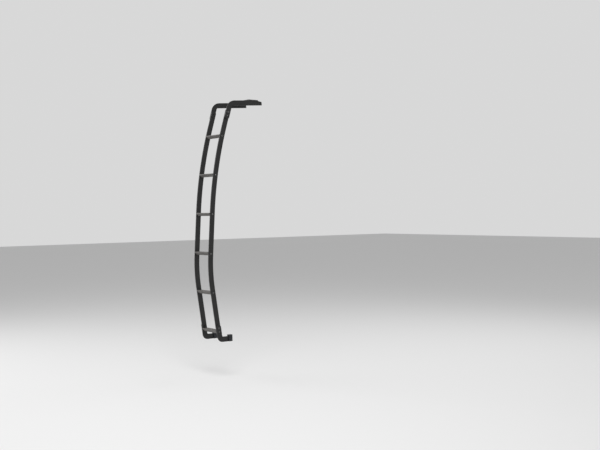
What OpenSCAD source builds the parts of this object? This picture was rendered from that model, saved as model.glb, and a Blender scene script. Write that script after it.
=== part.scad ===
// Side ladder for a van's roof rack: two flat rails cut to follow the van's side, six hollow
// serrated treads screwed between them, elbow arms that reach in over the roof to a folded
// bracket under the rack, and foot arms with shoes and rubber pads that bear on the sill.
// Frame: +X along the treads, +Y in towards the van, +Z up. The origin is the middle of the
// top face of the rack bracket, which is bolted up against the rack.

/* [Side profile] */
// Drop from the arm's corner to the upper knee of the rail
upper_drop = 536; // [480:1:600]
// Drop from the upper knee to the lower knee
middle_drop = 821; // [760:1:880]
// Drop from the lower knee to the foot's corner
lower_drop = 542; // [500:1:600]
// Lean of the upper stretch in towards the van, in degrees
upper_lean = 16.3; // [12:0.1:20]
// Lean of the middle stretch in towards the van, in degrees
middle_lean = 3.4; // [1:0.1:6]
// Lean of the lower stretch out from the van going up, in degrees
lower_lean = 8.7; // [5:0.1:12]
// Radius of the long bend at the upper knee
upper_bend_r = 3100; // [1500:10:3600]
// Radius of the bend at the lower knee
lower_bend_r = 1300; // [600:10:2000]

/* [Rails] */
// Width of rails and arms, across the strip
rail_w = 42; // [36:1:50]
// Thickness of the rail plates
rail_t = 8; // [6:0.5:10]

/* [Top arms] */
// Reach from the elbow's corner in to the middle of the rack bracket
arm_reach = 235; // [200:1:280]
// Length of the arm past the middle of the rack bracket
arm_tail = 75; // [60:1:95]
// Rise of the arm going in, in degrees
arm_rise = 4; // [2:0.1:6]
// Outer radius of the elbow
elbow_outer_r = 80; // [60:1:95]
// Inner radius of the elbow
elbow_inner_r = 12; // [8:1:20]
// Length of the taper along the top of the arm's tail
tail_taper_l = 60; // [20:1:90]
// Drop of the taper at the tail's end
tail_taper_h = 14; // [4:1:24]
// Thickness of the arm plates
arm_t = 8; // [6:0.5:10]

/* [Foot arms] */
// Reach from the foot's corner in to the face of the rubber pad
foot_reach = 108; // [95:1:130]
// Outer radius of the foot's corner
foot_outer_r = 45; // [36:1:54]
// Inner radius of the foot's corner
foot_inner_r = 12; // [8:1:20]

/* [Laps] */
// Length over which an arm laps the end of a rail
lap_l = 84; // [76:1:100]
// Distance between the two screws of a lap
lap_screw_pitch = 30; // [26:1:36]
// Height of the upper lap's middle below the elbow's corner
upper_lap_drop = 88; // [84:1:100]

/* [Treads] */
// Number of treads
tread_count = 6; // [5:1:6]
// Height from one tread to the next
tread_pitch = 314; // [300:1:320]
// Drop from the rack bracket's face to the top tread's screw
top_tread_drop = 311; // [290:1:330]
// Length of a tread, which is the clear width between the rails
tread_l = 200; // [180:1:300]
// Depth of a tread from front to back
tread_d = 50; // [44:1:70]
// Height of a tread
tread_h = 25; // [22:1:30]
// Height of the tread's upright front and back edges
tread_lip = 5; // [4:0.5:8]
// Width of the flat along the tread's underside
tread_keel_w = 14; // [10:1:20]
// Wall of the hollow tread
tread_wall = 2.5; // [2:0.1:3.5]
// Distance from one top groove to the next
groove_pitch = 4; // [3:0.25:6]
// Depth of the top grooves
groove_depth = 1.2; // [0.8:0.1:1.6]
// Outer radius of the screw port inside the tread
port_r = 7; // [6:0.25:8]

/* [Screws] */
// Clearance hole of the screws through plates
screw_hole_d = 8.4; // [6.4:0.1:9]
// Thread hole of the screw port
thread_hole_d = 6.8; // [5:0.1:7.5]

/* [Rack bracket] */
// Length of the bracket along the arms
bracket_l = 90; // [80:1:110]
// Height of the bracket's side flanges
bracket_h = 38; // [34:1:42]
// Thickness of the folded sheet
bracket_t = 5; // [4:0.5:6]
// Inner radius of the folds
bracket_fold_r = 4; // [3:0.5:6]
// Distance between slots along the treads
slot_pitch_x = 120; // [90:1:140]
// Distance between slots along the arms
slot_pitch_y = 50; // [36:1:60]
// Width of the slots
slot_w = 9; // [7:0.1:11]
// Overall length of the slots
slot_l = 25; // [16:1:30]
// Distance between the two screws that hold the bracket to an arm
bracket_screw_pitch = 56; // [40:1:60]

/* [Foot shoes] */
// Width of the shoe along the treads
shoe_w = 28; // [24:1:36]
// Length of the shoe along the foot arm
shoe_l = 28; // [26:1:36]
// Height of the shoe
shoe_h = 53; // [48:1:60]
// Thickness of the shoe behind the end of the foot arm
shoe_back = 9; // [8:0.5:12]
// Gap between the foot arm and its slot in the shoe, on each side
shoe_fit = 0.2; // [0.1:0.05:0.5]
// Thickness of the rubber pad
pad_t = 5; // [3:0.5:10]
// Height from one shoe screw to the other
shoe_screw_pitch = 22; // [18:1:26]

/* [Hidden] */

coat = "#1b1c1e";
tread_grey = "#5d5a57";
rubber = "#202226";

// Places across the ladder
rail_x = tread_l / 2;
arm_x = rail_x + rail_t;
arm_mid_x = arm_x + arm_t / 2;

// Directions in the side view, where the lean turns from straight up towards the van
function along(lean) = [sin(lean), cos(lean)];
function inward(lean) = [cos(lean), -sin(lean)];

// From a knee towards the centres of its bend, for one unit of radius
function middle(lean_a, lean_b) = inward((lean_a + lean_b) / 2) / cos((lean_b - lean_a) / 2);

// Corners of the centreline in the side view, as [Y, Z]
arm_top_clear = 1;
arm_lean = 90 - arm_rise;
elbow_z = -arm_top_clear - tan(arm_rise) * (arm_tail + arm_reach) - rail_w / 2 / cos(arm_rise);
elbow = [-arm_reach, elbow_z];
upper_knee = elbow - upper_drop * [tan(upper_lean), 1];
lower_knee = upper_knee - middle_drop * [tan(middle_lean), 1];
foot_corner = lower_knee - lower_drop * [-tan(lower_lean), 1];

// A bend between two straights that meet at a knee
function bend_centre(knee, lean_a, lean_b, r) = knee + middle(lean_a, lean_b) * r;
upper_centre = bend_centre(upper_knee, middle_lean, upper_lean, upper_bend_r);
lower_centre = bend_centre(lower_knee, -lower_lean, middle_lean, lower_bend_r);
upper_bend_low = upper_centre - inward(middle_lean) * upper_bend_r;
upper_bend_high = upper_centre - inward(upper_lean) * upper_bend_r;
lower_bend_low = lower_centre - inward(-lower_lean) * lower_bend_r;
lower_bend_high = lower_centre - inward(middle_lean) * lower_bend_r;

// Depth of the centreline at a height, and its lean there
function arc_y(centre, r, z) = centre[0] - sqrt(r * r - pow(z - centre[1], 2));
function rail_y(z) =
    z > upper_bend_high[1] ? elbow[0] - (elbow[1] - z) * tan(upper_lean)
    : z > upper_bend_low[1] ? arc_y(upper_centre, upper_bend_r, z)
    : z > lower_bend_high[1] ? upper_knee[0] - (upper_knee[1] - z) * tan(middle_lean)
    : z > lower_bend_low[1] ? arc_y(lower_centre, lower_bend_r, z)
    : foot_corner[0] - (z - foot_corner[1]) * tan(lower_lean);

// Screw heights
function tread_z(i) = -top_tread_drop - (i - 1) * tread_pitch;
upper_lap_z = elbow[1] - upper_lap_drop;
lap_step = lap_screw_pitch / 2;
upper_lap_screws = [upper_lap_z - lap_step * cos(upper_lean), upper_lap_z + lap_step * cos(upper_lean)];
lower_lap_low = tread_z(tread_count);
lower_lap_screws = [lower_lap_low, lower_lap_low + lap_screw_pitch * cos(lower_lean)];
lower_lap_z = (lower_lap_screws[0] + lower_lap_screws[1]) / 2;
rail_top_z = upper_lap_z + (lap_l - rail_w) / 2 * cos(upper_lean);
arm_low_z = upper_lap_z - (lap_l - rail_w) / 2 * cos(upper_lean);
rail_low_z = lower_lap_z - (lap_l - rail_w) / 2 * cos(lower_lean);
foot_high_z = lower_lap_z + (lap_l - rail_w) / 2 * cos(lower_lean);

// The foot, from the pad's face back to the end of the plate
pad_face_y = foot_corner[0] + foot_reach;
shoe_face_y = pad_face_y - pad_t;
foot_end_y = shoe_face_y - shoe_back;
foot_low_z = foot_corner[1] - rail_w / 2;
shoe_slot_gap = 0.5;
shoe_screw_y = shoe_face_y - (shoe_back + shoe_l) / 2;

// Keeps a curve from grazing the straight beside it
graze = 0.02;
big = 1000;

// Lays side views drawn in Y and Z across the ladder, each with the same thickness along X
module across(x, t) {
    for (i = [0 : $children - 1])
        translate([x, 0, 0])
            rotate([90, 0, 90])
                linear_extrude(height = t)
                    children(i);
}

// Mirrors a piece drawn on the right to either side
module on_side(side) {
    if (side > 0) children();
    else mirror([1, 0, 0]) children();
}

// A screw hole along X at a point of the side view
module hole_x(p, d) {
    translate([-big / 2, p[0], p[1]])
        rotate([0, 90, 0])
            cylinder(d = d, h = big, $fn = 32);
}

// The wedge of a bend, out to a distance from its centre
module bend_wedge(centre, lean_a, lean_b, reach) {
    polygon([
        centre,
        centre - inward(lean_a) * reach,
        centre - middle(lean_a, lean_b) * reach,
        centre - inward(lean_b) * reach
    ]);
}

// What a full round takes off the end of a strip; turn is 180 at an upper end
module end_cut(p, lean, turn) {
    translate(p)
        rotate(turn - lean)
            difference() {
                translate([-rail_w, -rail_w]) square([2 * rail_w, rail_w]);
                circle(r = rail_w / 2 + graze, $fn = 90);
            }
}

// A flat strip from start to finish through its knees, with a full round at its start, the
// outer and inner radius of each bend, and a taper along the outer edge of its far end
module bent_strip(start, knees, finish, leans, outer_r, inner_r, taper_l = 0, taper_h = 0) {
    side = rail_w / 2;
    last = len(knees) - 1;
    mids = [for (k = [0 : last]) middle(leans[k], leans[k + 1])];
    outer_centres = [for (k = [0 : last]) knees[k] + mids[k] * (outer_r[k] - side)];
    inner_centres = [for (k = [0 : last]) knees[k] + mids[k] * (inner_r[k] + side)];
    side_a = inward(leans[0]) * side;
    side_b = inward(leans[last + 1]) * side;
    tip = start - along(leans[0]) * side;
    taper = [
        finish - along(leans[last + 1]) * taper_l - side_b,
        finish - side_b + inward(leans[last + 1]) * taper_h
    ];
    difference() {
        polygon(concat(
            [tip - side_a],
            [for (k = [0 : last]) knees[k] - mids[k] * side],
            taper_h > 0 ? taper : [finish - side_b],
            [finish + side_b],
            [for (k = [last : -1 : 0], j = [k + 1, k]) inner_centres[k] - inward(leans[j]) * inner_r[k]],
            [tip + side_a]
        ));
        end_cut(start, leans[0], 0);
        for (k = [0 : last]) {
            difference() {
                bend_wedge(outer_centres[k], leans[k], leans[k + 1], outer_r[k] + rail_w);
                translate(outer_centres[k]) circle(r = outer_r[k] + graze, $fn = 720);
            }
            intersection() {
                bend_wedge(inner_centres[k], leans[k] - 6, leans[k + 1] + 6, inner_r[k] + 1);
                translate(inner_centres[k]) circle(r = inner_r[k] + graze, $fn = 720);
            }
        }
    }
}

module rail(side) {
    top = [rail_y(rail_top_z), rail_top_z];
    low = [rail_y(rail_low_z), rail_low_z];
    bend_r = [lower_bend_r, upper_bend_r];
    half_w = [rail_w, rail_w] / 2;
    color(coat)
        on_side(side)
            difference() {
                across(rail_x, rail_t)
                    difference() {
                        bent_strip(
                            low, [lower_knee, upper_knee], top + along(upper_lean) * rail_w / 2,
                            [-lower_lean, middle_lean, upper_lean], bend_r + half_w, bend_r - half_w
                        );
                        end_cut(top, upper_lean, 180);
                    }
                for (i = [1 : tread_count]) hole_x([rail_y(tread_z(i)), tread_z(i)], screw_hole_d);
                for (z = upper_lap_screws) hole_x([rail_y(z), z], screw_hole_d);
                hole_x([rail_y(lower_lap_screws[1]), lower_lap_screws[1]], screw_hole_d);
            }
}

module top_arm(side) {
    low = [rail_y(arm_low_z), arm_low_z];
    tail = elbow + along(arm_lean) * (arm_reach + arm_tail) / cos(arm_rise);
    color(coat)
        on_side(side)
            difference() {
                across(arm_x, arm_t)
                    bent_strip(
                        low, [elbow], tail, [upper_lean, arm_lean],
                        [elbow_outer_r], [elbow_inner_r], tail_taper_l, tail_taper_h
                    );
                for (z = upper_lap_screws) hole_x([rail_y(z), z], screw_hole_d);
                for (p = bracket_screws()) hole_x(p, screw_hole_d);
            }
}

function bracket_screws() = [for (s = [-1, 1]) [s * bracket_screw_pitch / 2, -bracket_h * 0.62]];

// Foot arm, drawn upside down so that it bends the same way as the other strips
module foot_arm(side) {
    high = [rail_y(foot_high_z), foot_high_z];
    toe = [foot_end_y - shoe_slot_gap, foot_corner[1]];
    color(coat)
        on_side(side)
            difference() {
                across(arm_x, arm_t)
                    mirror([0, 1])
                        bent_strip(
                            flip(high), [flip(foot_corner)], flip(toe),
                            [lower_lean, 90], [foot_outer_r], [foot_inner_r]
                        );
                for (z = lower_lap_screws) hole_x([rail_y(z), z], screw_hole_d);
                for (p = shoe_screws()) hole_x(p, screw_hole_d);
            }
}

function flip(p) = [p[0], -p[1]];
function shoe_screws() = [for (s = [-1, 1]) [shoe_screw_y, foot_corner[1] + s * shoe_screw_pitch / 2]];

// Section of a tread, with its screw port at the drawing's origin
module tread_section() {
    half_d = tread_d / 2;
    half_keel = tread_keel_w / 2;
    top = tread_h / 2;
    low = -tread_h / 2;
    knee = top - tread_lip;
    grooves = floor((tread_d - 2 * tread_lip) / groove_pitch);
    first = -(grooves - 1) / 2 * groove_pitch;
    flank = [half_d - half_keel, knee - low];
    flank_n = [flank[1], -flank[0]] / norm(flank);
    inner_top = top - groove_depth - tread_wall;
    inner_low = low + tread_wall;
    shift = [half_d, knee] - tread_wall * flank_n;
    function flank_y(z) = shift[0] - (shift[1] - z) * flank[0] / flank[1];
    difference() {
        polygon(concat(
            [[-half_d, top]],
            [for (i = [0 : grooves - 1], k = [-1 : 1])
                [first + i * groove_pitch + k * groove_depth, top - (k == 0 ? groove_depth : 0)]],
            [[half_d, top], [half_d, knee], [half_keel, low], [-half_keel, low], [-half_d, knee]]
        ));
        for (s = [0, 1])
            mirror([s, 0])
                polygon([
                    [tread_wall / 2, inner_top],
                    [min(flank_y(inner_top), half_d - tread_wall), inner_top],
                    [flank_y(inner_low), inner_low],
                    [tread_wall / 2, inner_low]
                ]);
    }
}

module tread(i) {
    y = rail_y(tread_z(i));
    color(tread_grey)
        difference() {
            translate([0, y, tread_z(i)])
                across(-tread_l / 2, tread_l) {
                    tread_section();
                    circle(r = port_r, $fn = 48);
                }
            hole_x([y, tread_z(i)], thread_hole_d);
        }
}

// Folded bracket that ties the arms together and is bolted up against the rack
module rack_bracket() {
    outer_r = bracket_fold_r + bracket_t;
    color(coat)
        difference() {
            translate([0, bracket_l / 2, 0])
                rotate([90, 0, 0])
                    linear_extrude(height = bracket_l)
                        difference() {
                            folded(arm_x, bracket_h, outer_r);
                            translate([0, -bracket_t])
                                folded(arm_x - bracket_t, bracket_h, bracket_fold_r);
                        }
            for (sx = [-1, 1], sy = [-1, 1])
                translate([sx * slot_pitch_x / 2, sy * slot_pitch_y / 2, -bracket_t * 2])
                    slot_cut(bracket_t * 3);
            for (p = bracket_screws()) hole_x(p, screw_hole_d);
        }
}

// Outline with two rounded upper corners
module folded(half_w, h, r) {
    translate([-half_w, -h]) square([2 * half_w, h - r]);
    translate([-half_w + r, -h]) square([2 * (half_w - r), h]);
    for (s = [-1, 1]) translate([s * (half_w - r), -r]) circle(r = r, $fn = 48);
}

// A slot along X with round ends
module slot_cut(h) {
    run = slot_l - slot_w;
    for (s = [-1, 1]) translate([s * run / 2, 0, 0]) cylinder(d = slot_w, h = h, $fn = 32);
    translate([-run / 2, -slot_w / 2, 0]) cube([run, slot_w, h]);
}

// Block that slips down over the end of the foot arm
module foot_shoe(side) {
    slot_half = arm_t / 2 + shoe_fit;
    color(coat)
        on_side(side)
            difference() {
                translate([arm_mid_x - shoe_w / 2, shoe_face_y - shoe_l, foot_low_z])
                    cube([shoe_w, shoe_l, shoe_h]);
                translate([arm_mid_x - slot_half, shoe_face_y - big, foot_low_z - 1])
                    cube([2 * slot_half, big - shoe_back, rail_w + shoe_fit + 1]);
                for (p = shoe_screws()) hole_x(p, screw_hole_d);
            }
}

module foot_pad(side) {
    color(rubber)
        on_side(side)
            translate([arm_mid_x - shoe_w / 2, shoe_face_y, foot_low_z])
                cube([shoe_w, pad_t, shoe_h]);
}

rail(-1);  // rail_left
rail(1);  // rail_right
top_arm(-1);  // top_arm_left
top_arm(1);  // top_arm_right
foot_arm(-1);  // foot_arm_left
foot_arm(1);  // foot_arm_right
tread(1);  // tread_1
tread(2);  // tread_2
tread(3);  // tread_3
tread(4);  // tread_4
tread(5);  // tread_5
tread(6);  // tread_6
rack_bracket();
foot_shoe(-1);  // foot_shoe_left
foot_shoe(1);  // foot_shoe_right
foot_pad(-1);  // foot_pad_left
foot_pad(1);  // foot_pad_right
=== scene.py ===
import math

import bmesh
import bpy
from mathutils import Matrix, Vector


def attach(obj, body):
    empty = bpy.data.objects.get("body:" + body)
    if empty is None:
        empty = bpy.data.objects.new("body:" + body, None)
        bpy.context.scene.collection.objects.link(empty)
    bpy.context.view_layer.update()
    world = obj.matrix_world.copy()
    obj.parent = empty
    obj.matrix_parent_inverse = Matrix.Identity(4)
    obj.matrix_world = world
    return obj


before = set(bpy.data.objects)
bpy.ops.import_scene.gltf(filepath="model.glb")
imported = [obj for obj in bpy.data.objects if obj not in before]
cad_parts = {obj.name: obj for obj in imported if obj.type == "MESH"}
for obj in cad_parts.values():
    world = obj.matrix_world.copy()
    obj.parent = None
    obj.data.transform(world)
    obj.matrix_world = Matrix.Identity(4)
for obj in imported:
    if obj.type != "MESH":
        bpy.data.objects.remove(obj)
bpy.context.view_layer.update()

MM = 0.001

# Named sizes of the part that the screws follow, in millimetres and degrees
UPPER_DROP, MIDDLE_DROP, LOWER_DROP = 536, 821, 542
UPPER_LEAN, MIDDLE_LEAN, LOWER_LEAN = 16.3, 3.4, 8.7
UPPER_R, LOWER_R = 3100, 1300
RAIL_W, RAIL_T, ARM_T = 42, 8, 8
ARM_REACH, ARM_TAIL, ARM_RISE, ARM_TOP_CLEAR = 235, 75, 4, 1
TREAD_COUNT, TREAD_PITCH, TOP_TREAD_DROP, TREAD_L = 6, 314, 311, 200
LAP_PITCH, UPPER_LAP_DROP = 30, 88
RAIL_FACE_X = TREAD_L / 2 + RAIL_T
ARM_FACE_X = RAIL_FACE_X + ARM_T

# Button-head screws, in millimetres
HEAD_R, HEAD_H = 7.6, 4.6
SOCKET_R, SOCKET_D, SOCKET_LIP = 2.9, 2.6, 0.1
HEAD_STEPS = 30
DOME = [
    (HEAD_R * 0.995, 0),
    (HEAD_R, 0.5),
    (HEAD_R * 0.97, 1.4),
    (HEAD_R * 0.88, 2.6),
    (HEAD_R * 0.72, 3.7),
    (HEAD_R * 0.55, 4.3),
    (SOCKET_R * 1.18, HEAD_H),
]
SHARP_EDGE_DEG = 40

# Floor, in metres: the ground below the van, under the ladder's feet
FLOOR_Z = -2.271
FLOOR_SIZE = 60

# Camera, solved from the photograph: metres, degrees and pixels of the 600 pixel wide frame
CAM_POS = Vector((6.134, -4.247, -0.912))
YAW, PITCH, ROLL = -38.053, -0.964, -0.658
FOCAL_PX, FRAME_W_PX, SENSOR_MM = 892.83, 600, 36


# Side profile of the rails

def tan(degrees):
    return math.tan(math.radians(degrees))


def cos(degrees):
    return math.cos(math.radians(degrees))


def sin(degrees):
    return math.sin(math.radians(degrees))


def inward(lean):
    """Square to a stretch of rail that leans by so much, towards the van, as (Y, Z)."""
    return Vector((cos(lean), -sin(lean)))


def middle(lean_a, lean_b):
    """From a knee towards the centre of its bend, for one unit of radius."""
    return inward((lean_a + lean_b) / 2) / cos((lean_b - lean_a) / 2)


ELBOW_Z = -ARM_TOP_CLEAR - tan(ARM_RISE) * (ARM_TAIL + ARM_REACH) - RAIL_W / 2 / cos(ARM_RISE)
ELBOW = Vector((-ARM_REACH, ELBOW_Z))
UPPER_KNEE = ELBOW - UPPER_DROP * Vector((tan(UPPER_LEAN), 1))
LOWER_KNEE = UPPER_KNEE - MIDDLE_DROP * Vector((tan(MIDDLE_LEAN), 1))
FOOT = LOWER_KNEE - LOWER_DROP * Vector((-tan(LOWER_LEAN), 1))
UPPER_CENTRE = UPPER_KNEE + middle(MIDDLE_LEAN, UPPER_LEAN) * UPPER_R
LOWER_CENTRE = LOWER_KNEE + middle(-LOWER_LEAN, MIDDLE_LEAN) * LOWER_R


def bend_end_z(centre, lean, radius):
    """Height at which a bend meets the straight with this lean."""
    return (centre - inward(lean) * radius)[1]


def arc_y(centre, radius, z):
    return centre[0] - math.sqrt(radius ** 2 - (z - centre[1]) ** 2)


def rail_y(z):
    """Depth of a rail's centreline at a height."""
    if z > bend_end_z(UPPER_CENTRE, UPPER_LEAN, UPPER_R):
        return ELBOW[0] - (ELBOW[1] - z) * tan(UPPER_LEAN)
    if z > bend_end_z(UPPER_CENTRE, MIDDLE_LEAN, UPPER_R):
        return arc_y(UPPER_CENTRE, UPPER_R, z)
    if z > bend_end_z(LOWER_CENTRE, MIDDLE_LEAN, LOWER_R):
        return UPPER_KNEE[0] - (UPPER_KNEE[1] - z) * tan(MIDDLE_LEAN)
    if z > bend_end_z(LOWER_CENTRE, -LOWER_LEAN, LOWER_R):
        return arc_y(LOWER_CENTRE, LOWER_R, z)
    return FOOT[0] - (z - FOOT[1]) * tan(LOWER_LEAN)


TREAD_Z = [-TOP_TREAD_DROP - i * TREAD_PITCH for i in range(TREAD_COUNT)]
UPPER_LAP_Z = [ELBOW[1] - UPPER_LAP_DROP + s * LAP_PITCH / 2 * cos(UPPER_LEAN) for s in (-1, 1)]
LOWER_LAP_Z = [TREAD_Z[-1], TREAD_Z[-1] + LAP_PITCH * cos(LOWER_LEAN)]


# Materials

def new_material(name):
    material = bpy.data.materials.new(name)
    material.use_nodes = True
    tree = material.node_tree
    return material, tree, tree.nodes["Principled BSDF"]


def add(tree, kind, **values):
    """Adds a node; each value sets the socket of that name, or else the property."""
    node = tree.nodes.new(kind)
    for key, value in values.items():
        if key in node.inputs:
            node.inputs[key].default_value = value
        else:
            setattr(node, key, value)
    return node


def ramp(tree, factor, low, high):
    """A colour ramp between two (position, colour) stops."""
    node = add(tree, "ShaderNodeValToRGB")
    elements = node.color_ramp.elements
    while len(elements) > 1:
        elements.remove(elements[-1])
    elements[0].position, elements[0].color = low[0], (*low[1], 1)
    elements.new(high[0]).color = (*high[1], 1)
    tree.links.new(factor, node.inputs[0])
    return node.outputs[0]


def blend_colours(tree, factor, first, second):
    """Mixes two colours; factor and second are each a socket or a plain value."""
    node = add(tree, "ShaderNodeMix", data_type="RGBA")
    for socket, value in ((node.inputs["Factor"], factor), (node.inputs[6], first), (node.inputs[7], second)):
        if isinstance(value, bpy.types.NodeSocket):
            tree.links.new(value, socket)
        else:
            socket.default_value = value
    return node.outputs[2]


def vary_roughness(tree, shader, factor, low, high):
    node = add(tree, "ShaderNodeMapRange", **{"To Min": low, "To Max": high})
    tree.links.new(factor, node.inputs[0])
    tree.links.new(node.outputs[0], shader.inputs["Roughness"])


def bumpy(tree, shader, height, strength):
    node = add(tree, "ShaderNodeBump", Strength=strength, Distance=BUMP_DEPTH)
    tree.links.new(height, node.inputs["Height"])
    tree.links.new(node.outputs[0], shader.inputs["Normal"])


def grey(value, warm=0.0):
    return (value * (1 + warm), value, value * (1 - warm))


BUMP_DEPTH = 0.0003
# Painted highlight: a pale grey and how strongly it is blended onto upward-facing surfaces, standing in for
# light falling on their tops.
PAINTED_TOP_LIGHT, PAINTED_TOP_LIGHT_AMOUNT = grey(0.075, 0.04), 0.35
DIE_LINES = (2.0, 900.0, 900.0)


def coated(name, base, worn, rough, grain=900.0, bump=0.12):
    """Powder coat: fine orange peel, faint cloudiness, and a painted highlight that lightens upward faces as
    if lit from above.
    """
    material, tree, shader = new_material(name)
    normal = add(tree, "ShaderNodeNewGeometry").outputs["Normal"]
    place = add(tree, "ShaderNodeTexCoord").outputs["Object"]
    cloud = add(tree, "ShaderNodeTexNoise", Scale=9.0, Detail=5.0, Roughness=0.6)
    fine = add(tree, "ShaderNodeTexNoise", Scale=grain, Detail=2.0, Roughness=0.5)
    for noise in (cloud, fine):
        tree.links.new(place, noise.inputs["Vector"])
    tone = ramp(tree, cloud.outputs["Fac"], (0.3, base), (0.7, worn))
    parts = add(tree, "ShaderNodeSeparateXYZ")
    tree.links.new(normal, parts.inputs[0])
    # Painted highlight: the upward part of the surface normal lightens the colour towards the pale grey, as
    # painted top light.
    upward = add(tree, "ShaderNodeClamp")
    tree.links.new(parts.outputs["Z"], upward.inputs[0])
    painted_top_light_mix = add(tree, "ShaderNodeMath", operation="MULTIPLY")
    painted_top_light_mix.inputs[1].default_value = PAINTED_TOP_LIGHT_AMOUNT
    tree.links.new(upward.outputs[0], painted_top_light_mix.inputs[0])
    colour = blend_colours(tree, painted_top_light_mix.outputs[0], tone, (*PAINTED_TOP_LIGHT, 1))
    tree.links.new(colour, shader.inputs["Base Color"])
    vary_roughness(tree, shader, cloud.outputs["Fac"], rough - 0.06, rough + 0.08)
    bumpy(tree, shader, fine.outputs["Fac"], bump)
    shader.inputs["Specular IOR Level"].default_value = 0.4
    return material


def extruded(name):
    """Dark extrusion: die lines along the tread over a mottled grey."""
    material, tree, shader = new_material(name)
    place = add(tree, "ShaderNodeTexCoord").outputs["Object"]
    stretch = add(tree, "ShaderNodeMapping", Scale=DIE_LINES)
    tree.links.new(place, stretch.inputs["Vector"])
    lines = add(tree, "ShaderNodeTexNoise", Scale=1.0, Detail=3.0, Roughness=0.6)
    tree.links.new(stretch.outputs[0], lines.inputs["Vector"])
    cloud = add(tree, "ShaderNodeTexNoise", Scale=40.0, Detail=4.0, Roughness=0.6)
    tree.links.new(place, cloud.inputs["Vector"])
    mottle = ramp(tree, cloud.outputs["Fac"], (0.3, grey(0.105, 0.05)), (0.7, grey(0.155, 0.05)))
    streak = ramp(tree, lines.outputs["Fac"], (0.3, grey(0.10, 0.04)), (0.75, grey(0.17, 0.04)))
    colour = blend_colours(tree, 0.35, mottle, streak)
    tree.links.new(colour, shader.inputs["Base Color"])
    vary_roughness(tree, shader, lines.outputs["Fac"], 0.42, 0.6)
    bumpy(tree, shader, lines.outputs["Fac"], 0.15)
    shader.inputs["Metallic"].default_value = 0.35
    return material


BLACK = coated("black_coat", grey(0.010), grey(0.016), 0.42)
SHOE = coated("shoe_coat", (0.012, 0.013, 0.016), (0.018, 0.020, 0.024), 0.55)
RUBBER = coated("pad_rubber", (0.012, 0.012, 0.013), (0.02, 0.02, 0.021), 0.75, grain=500, bump=0.3)
TREAD = extruded("tread_metal")
SCREW = coated("screw_zinc", grey(0.09), grey(0.14), 0.38, grain=1500)
SCREW.node_tree.nodes["Principled BSDF"].inputs["Metallic"].default_value = 0.6

NODE_MATERIAL = {
    "rail": BLACK,
    "top_arm": BLACK,
    "foot_arm": BLACK,
    "rack_bracket": BLACK,
    "tread": TREAD,
    "foot_shoe": SHOE,
    "foot_pad": RUBBER,
}
for node_name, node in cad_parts.items():
    kind = next(k for k in NODE_MATERIAL if node_name.startswith(k))
    node.data.materials.clear()
    node.data.materials.append(NODE_MATERIAL[kind])


# Screws

def socket_radius(angle):
    """Distance from the axis to the wall of a hexagon socket."""
    sector = math.pi / 3
    return SOCKET_R * math.cos(sector / 2) / math.cos(angle % sector - sector / 2)


def button_head(bm, centre, axis):
    """Button-head screw with a hexagon socket sunk in its dome, closed at its seat."""
    turn = Vector((0, 0, 1)).rotation_difference(axis).to_matrix()
    angles = [2 * math.pi * i / HEAD_STEPS for i in range(HEAD_STEPS)]

    def ring(radius_at, height):
        spots = [(radius_at(a) * math.cos(a), radius_at(a) * math.sin(a), height) for a in angles]
        return [bm.verts.new((turn @ Vector(p) + centre) * MM) for p in spots]

    rings = [ring(lambda a, r=r: r, height) for r, height in DOME]
    rings.append(ring(socket_radius, HEAD_H - SOCKET_LIP))
    rings.append(ring(socket_radius, HEAD_H - SOCKET_D))
    for low, high in zip(rings, rings[1:]):
        for i in range(HEAD_STEPS):
            j = (i + 1) % HEAD_STEPS
            bm.faces.new((low[i], low[j], high[j], high[i]))
    bm.faces.new(rings[-1])
    bm.faces.new(list(reversed(rings[0])))


def side_screws(name, heights, x_face, side):
    """The screws on one outer face, at these heights along the rail, as one piece."""
    bm = bmesh.new()
    for z in heights:
        button_head(bm, Vector((side * x_face, rail_y(z), z)), Vector((side, 0, 0)))
    bmesh.ops.recalc_face_normals(bm, faces=bm.faces)
    mesh = bpy.data.meshes.new(name)
    bm.to_mesh(mesh)
    bm.free()
    mesh.materials.append(SCREW)
    for face in mesh.polygons:
        face.use_smooth = True
    mesh.set_sharp_from_angle(angle=math.radians(SHARP_EDGE_DEG))
    piece = bpy.data.objects.new(name, mesh)
    bpy.context.scene.collection.objects.link(piece)
    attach(piece, "root")


for side, word in ((-1, "left"), (1, "right")):
    side_screws("tread_screws_" + word, TREAD_Z[:-1], RAIL_FACE_X, side)
    side_screws("upper_lap_screws_" + word, UPPER_LAP_Z, ARM_FACE_X, side)
    side_screws("lower_lap_screws_" + word, LOWER_LAP_Z, ARM_FACE_X, side)


# Floor and light

def make_floor():
    bpy.ops.mesh.primitive_plane_add(size=FLOOR_SIZE, location=(0, 0, FLOOR_Z))
    floor = bpy.context.object
    floor.name = "floor"
    material, _, shader = new_material("floor_pale")
    shader.inputs["Base Color"].default_value = (*grey(0.75), 1)
    shader.inputs["Roughness"].default_value = 0.9
    floor.data.materials.append(material)


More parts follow.
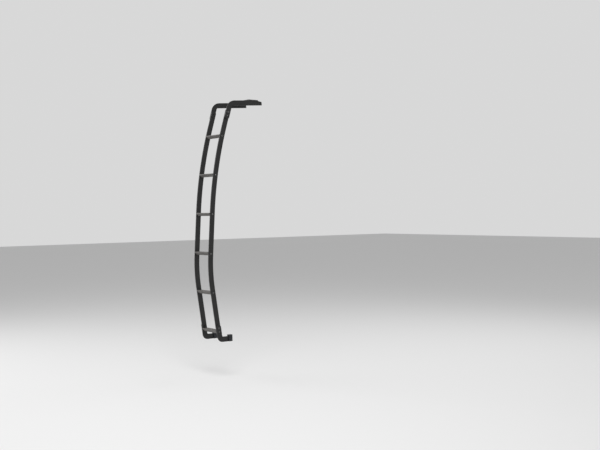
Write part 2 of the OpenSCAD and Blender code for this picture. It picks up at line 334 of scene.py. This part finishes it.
def make_world(light_strength, seen_strength):
    """Even white light; the camera sees its own pale backdrop."""
    world = bpy.data.worlds.new("studio")
    bpy.context.scene.world = world
    world.use_nodes = True
    tree = world.node_tree
    light = tree.nodes["Background"]
    light.inputs["Color"].default_value = (1, 1, 1, 1)
    light.inputs["Strength"].default_value = light_strength
    seen = add(tree, "ShaderNodeBackground", Strength=seen_strength)
    path = add(tree, "ShaderNodeLightPath")
    mix = add(tree, "ShaderNodeMixShader")
    tree.links.new(path.outputs["Is Camera Ray"], mix.inputs[0])
    tree.links.new(light.outputs[0], mix.inputs[1])
    tree.links.new(seen.outputs[0], mix.inputs[2])
    tree.links.new(mix.outputs[0], tree.nodes["World Output"].inputs[0])


LIGHT_TARGET = Vector((0, -0.3, -1.0))


def area_light(name, place, size, power):
    data = bpy.data.lights.new(name, "AREA")
    data.shape = "RECTANGLE"
    data.size, data.size_y = size
    data.energy = power
    lamp = bpy.data.objects.new(name, data)
    lamp.location = place
    lamp.rotation_mode = "QUATERNION"
    lamp.rotation_quaternion = (LIGHT_TARGET - Vector(place)).to_track_quat("-Z", "Y")
    bpy.context.scene.collection.objects.link(lamp)


make_floor()
make_world(light_strength=0.55, seen_strength=0.86)
area_light("key", (3.5, -3.0, 3.5), (3.0, 3.0), 220)
area_light("fill", (-3.5, -3.5, 1.0), (3.0, 3.0), 90)
area_light("back", (0.5, 4.0, 2.0), (3.0, 2.0), 60)


# Camera

def make_camera():
    """The photograph's camera. Its frame's x is the part's -X and its y the part's -Y."""
    look = Vector((-cos(YAW) * cos(PITCH), -sin(YAW) * cos(PITCH), sin(PITCH)))
    right = look.cross(Vector((0, 0, 1))).normalized()
    up = right.cross(look)
    rolled_right = right * cos(ROLL) + up * sin(ROLL)
    rolled_up = -right * sin(ROLL) + up * cos(ROLL)
    data = bpy.data.cameras.new("camera")
    data.sensor_width = SENSOR_MM
    data.lens = FOCAL_PX * SENSOR_MM / FRAME_W_PX
    camera = bpy.data.objects.new("camera", data)
    bpy.context.scene.collection.objects.link(camera)
    turn = Matrix((rolled_right, rolled_up, -look)).transposed().to_4x4()
    camera.matrix_world = Matrix.Translation(CAM_POS) @ turn
    bpy.context.scene.camera = camera


make_camera()
bpy.context.scene.view_settings.view_transform = "Standard"
